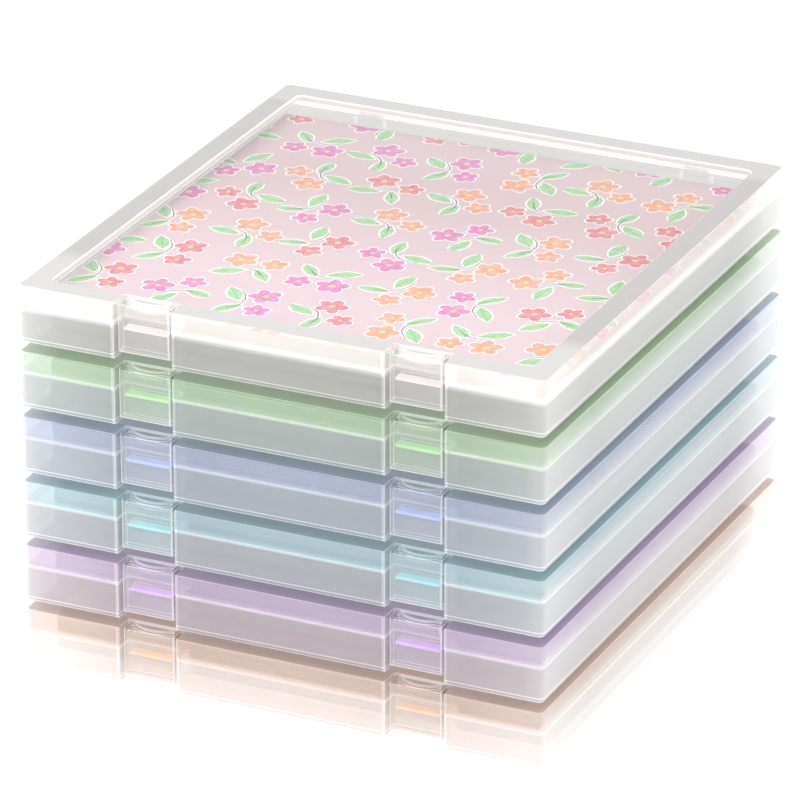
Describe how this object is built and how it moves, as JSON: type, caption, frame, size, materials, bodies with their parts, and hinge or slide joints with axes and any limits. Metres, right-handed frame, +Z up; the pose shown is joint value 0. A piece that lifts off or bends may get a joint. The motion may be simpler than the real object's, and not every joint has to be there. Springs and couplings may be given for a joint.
{
  "type": "stacking paper case set",
  "caption": "Stack of shallow clear hinged-lid cases with flip latches on the front, each holding a stack of square scrapbook paper in its own colour.",
  "frame": {"origin": "on the surface the stack stands on, under the middle of its bounding box, hinges included", "axes": "+Z up, latches face -Y, hinges at +Y, +X to the right seen from the front"},
  "size_m": [0.32, 0.3508, 0.2417],
  "materials": {
    "clear_lid": "clear, glossy",
    "clear_base": "clear with a slight haze",
    "clear_latch": "clear, glossy",
    "paper_white": "uncoated sheets",
    "paper_pink": "uncoated sheets",
    "paper_green": "uncoated sheets",
    "paper_blue": "uncoated sheets",
    "paper_teal": "uncoated sheets",
    "paper_purple": "uncoated sheets",
    "paper_peach": "uncoated sheets",
    "printed_sheet": "pale pink with a scattered print"
  },
  "bodies": {
    "case_1_base": {"case_1_base": "clear_base", "case_1_paper_pink": "paper_pink", "case_1_paper_white": "paper_white", "case_1_printed_sheet": "printed_sheet"},
    "case_1_lid": {"case_1_lid": "clear_lid"},
    "case_1_latch_left": {"case_1_latch_left": "clear_latch"},
    "case_1_latch_right": {"case_1_latch_right": "clear_latch"},
    "case_2_base": {"case_2_base": "clear_base", "case_2_paper_green": "paper_green", "case_2_paper_white": "paper_white"},
    "case_2_lid": {"case_2_lid": "clear_lid"},
    "case_2_latch_left": {"case_2_latch_left": "clear_latch"},
    "case_2_latch_right": {"case_2_latch_right": "clear_latch"},
    "case_3_base": {"case_3_base": "clear_base", "case_3_paper_blue": "paper_blue", "case_3_paper_white": "paper_white"},
    "case_3_lid": {"case_3_lid": "clear_lid"},
    "case_3_latch_left": {"case_3_latch_left": "clear_latch"},
    "case_3_latch_right": {"case_3_latch_right": "clear_latch"},
    "case_4_base": {"case_4_base": "clear_base", "case_4_paper_teal": "paper_teal", "case_4_paper_white": "paper_white"},
    "case_4_lid": {"case_4_lid": "clear_lid"},
    "case_4_latch_left": {"case_4_latch_left": "clear_latch"},
    "case_4_latch_right": {"case_4_latch_right": "clear_latch"},
    "case_5_base": {"case_5_base": "clear_base", "case_5_paper_purple": "paper_purple", "case_5_paper_white": "paper_white"},
    "case_5_lid": {"case_5_lid": "clear_lid"},
    "case_5_latch_left": {"case_5_latch_left": "clear_latch"},
    "case_5_latch_right": {"case_5_latch_right": "clear_latch"},
    "case_6_base": {"case_6_base": "clear_base", "case_6_paper_peach": "paper_peach", "case_6_paper_white": "paper_white"},
    "case_6_lid": {"case_6_lid": "clear_lid"},
    "case_6_latch_left": {"case_6_latch_left": "clear_latch"},
    "case_6_latch_right": {"case_6_latch_right": "clear_latch"}
  },
  "joints": [
    {"name": "case_1_lift", "type": "slide", "parent": "case_2_base", "child": "case_1_base", "axis": [0, 0, 1], "range_m": [0, 0.7]},
    {"name": "case_1_lid_hinge", "type": "hinge", "parent": "case_1_base", "child": "case_1_lid", "pos_m": [0, 0.1726, 0.229], "axis": [-1, 0, 0], "range_deg": [0, 95]},
    {"name": "case_1_latch_left_pivot", "type": "hinge", "parent": "case_1_lid", "child": "case_1_latch_left", "pos_m": [-0.0825, -0.1658, 0.2389], "axis": [-1, 0, 0], "range_deg": [0, 90]},
    {"name": "case_1_latch_right_pivot", "type": "hinge", "parent": "case_1_lid", "child": "case_1_latch_right", "pos_m": [0.0825, -0.1658, 0.2389], "axis": [-1, 0, 0], "range_deg": [0, 90]},
    {"name": "case_2_lift", "type": "slide", "parent": "case_3_base", "child": "case_2_base", "axis": [0, 0, 1], "range_m": [0, 0.7]},
    {"name": "case_2_lid_hinge", "type": "hinge", "parent": "case_2_base", "child": "case_2_lid", "pos_m": [0, 0.1726, 0.1893], "axis": [-1, 0, 0], "range_deg": [0, 95]},
    {"name": "case_2_latch_left_pivot", "type": "hinge", "parent": "case_2_lid", "child": "case_2_latch_left", "pos_m": [-0.0825, -0.1658, 0.1992], "axis": [-1, 0, 0], "range_deg": [0, 90]},
    {"name": "case_2_latch_right_pivot", "type": "hinge", "parent": "case_2_lid", "child": "case_2_latch_right", "pos_m": [0.0825, -0.1658, 0.1992], "axis": [-1, 0, 0], "range_deg": [0, 90]},
    {"name": "case_3_lift", "type": "slide", "parent": "case_4_base", "child": "case_3_base", "axis": [0, 0, 1], "range_m": [0, 0.7]},
    {"name": "case_3_lid_hinge", "type": "hinge", "parent": "case_3_base", "child": "case_3_lid", "pos_m": [0, 0.1726, 0.1496], "axis": [-1, 0, 0], "range_deg": [0, 95]},
    {"name": "case_3_latch_left_pivot", "type": "hinge", "parent": "case_3_lid", "child": "case_3_latch_left", "pos_m": [-0.0825, -0.1658, 0.1595], "axis": [-1, 0, 0], "range_deg": [0, 90]},
    {"name": "case_3_latch_right_pivot", "type": "hinge", "parent": "case_3_lid", "child": "case_3_latch_right", "pos_m": [0.0825, -0.1658, 0.1595], "axis": [-1, 0, 0], "range_deg": [0, 90]},
    {"name": "case_4_lift", "type": "slide", "parent": "case_5_base", "child": "case_4_base", "axis": [0, 0, 1], "range_m": [0, 0.7]},
    {"name": "case_4_lid_hinge", "type": "hinge", "parent": "case_4_base", "child": "case_4_lid", "pos_m": [0, 0.1726, 0.1099], "axis": [-1, 0, 0], "range_deg": [0, 95]},
    {"name": "case_4_latch_left_pivot", "type": "hinge", "parent": "case_4_lid", "child": "case_4_latch_left", "pos_m": [-0.0825, -0.1658, 0.1198], "axis": [-1, 0, 0], "range_deg": [0, 90]},
    {"name": "case_4_latch_right_pivot", "type": "hinge", "parent": "case_4_lid", "child": "case_4_latch_right", "pos_m": [0.0825, -0.1658, 0.1198], "axis": [-1, 0, 0], "range_deg": [0, 90]},
    {"name": "case_5_lift", "type": "slide", "parent": "case_6_base", "child": "case_5_base", "axis": [0, 0, 1], "range_m": [0, 0.7]},
    {"name": "case_5_lid_hinge", "type": "hinge", "parent": "case_5_base", "child": "case_5_lid", "pos_m": [0, 0.1726, 0.0702], "axis": [-1, 0, 0], "range_deg": [0, 95]},
    {"name": "case_5_latch_left_pivot", "type": "hinge", "parent": "case_5_lid", "child": "case_5_latch_left", "pos_m": [-0.0825, -0.1658, 0.0801], "axis": [-1, 0, 0], "range_deg": [0, 90]},
    {"name": "case_5_latch_right_pivot", "type": "hinge", "parent": "case_5_lid", "child": "case_5_latch_right", "pos_m": [0.0825, -0.1658, 0.0801], "axis": [-1, 0, 0], "range_deg": [0, 90]},
    {"name": "case_6_lid_hinge", "type": "hinge", "parent": "case_6_base", "child": "case_6_lid", "pos_m": [0, 0.1726, 0.0305], "axis": [-1, 0, 0], "range_deg": [0, 95]},
    {"name": "case_6_latch_left_pivot", "type": "hinge", "parent": "case_6_lid", "child": "case_6_latch_left", "pos_m": [-0.0825, -0.1658, 0.0404], "axis": [-1, 0, 0], "range_deg": [0, 90]},
    {"name": "case_6_latch_right_pivot", "type": "hinge", "parent": "case_6_lid", "child": "case_6_latch_right", "pos_m": [0.0825, -0.1658, 0.0404], "axis": [-1, 0, 0], "range_deg": [0, 90]}
  ],
  "couplings": [
    {"joint": "case_2_lid_hinge", "follows": "case_1_lift", "rad_per_m": 2.3686},
    {"joint": "case_3_lid_hinge", "follows": "case_2_lift", "rad_per_m": 2.3686},
    {"joint": "case_4_lid_hinge", "follows": "case_3_lift", "rad_per_m": 2.3686},
    {"joint": "case_5_lid_hinge", "follows": "case_4_lift", "rad_per_m": 2.3686},
    {"joint": "case_6_lid_hinge", "follows": "case_5_lift", "rad_per_m": 2.3686}
  ]
}
